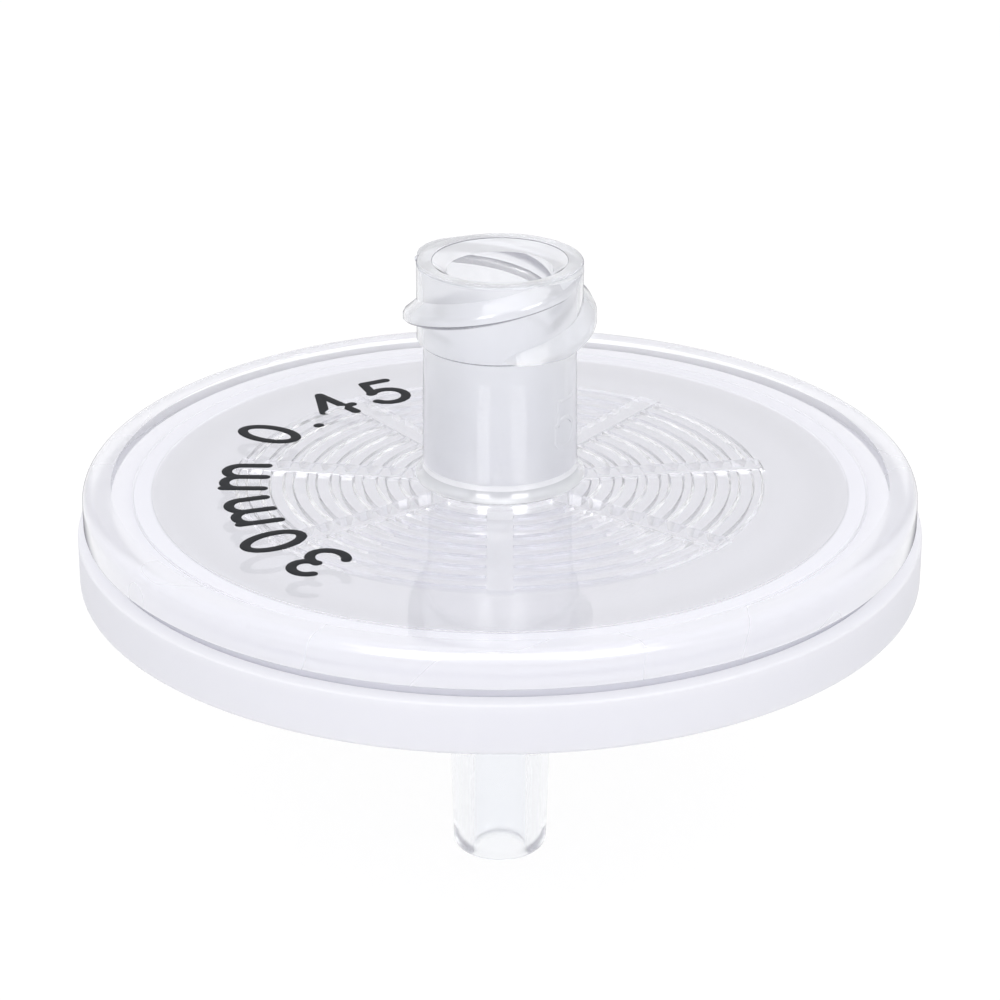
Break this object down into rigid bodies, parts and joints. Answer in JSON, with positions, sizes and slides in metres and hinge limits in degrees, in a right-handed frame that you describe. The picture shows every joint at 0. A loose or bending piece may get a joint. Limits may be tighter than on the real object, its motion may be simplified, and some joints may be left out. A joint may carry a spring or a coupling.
{
  "type": "syringe filter",
  "caption": "Disc filter with a clear inlet shell and Luer lock hub, a nylon membrane, and a white outlet shell with a slip spout.",
  "frame": {"origin": "centre of the spout's open end, the lowest point of the part", "axes": "+Z along the common axis from the outlet spout to the inlet hub; -Y is the front; +X to the right seen from the front"},
  "size_m": [0.0346, 0.0346, 0.0266],
  "materials": {
    "clear_plastic": "clear polished polypropylene copolymer, slightly hazy",
    "nylon_membrane": "matt white microporous nylon sheet",
    "white_plastic": "milky translucent polypropylene, satin to gloss",
    "print_ink": "black pad-printed ink"
  },
  "bodies": {
    "root": {"inlet_shell": "clear_plastic", "membrane": "nylon_membrane", "outlet_shell": "white_plastic"}
  },
  "joints": []
}
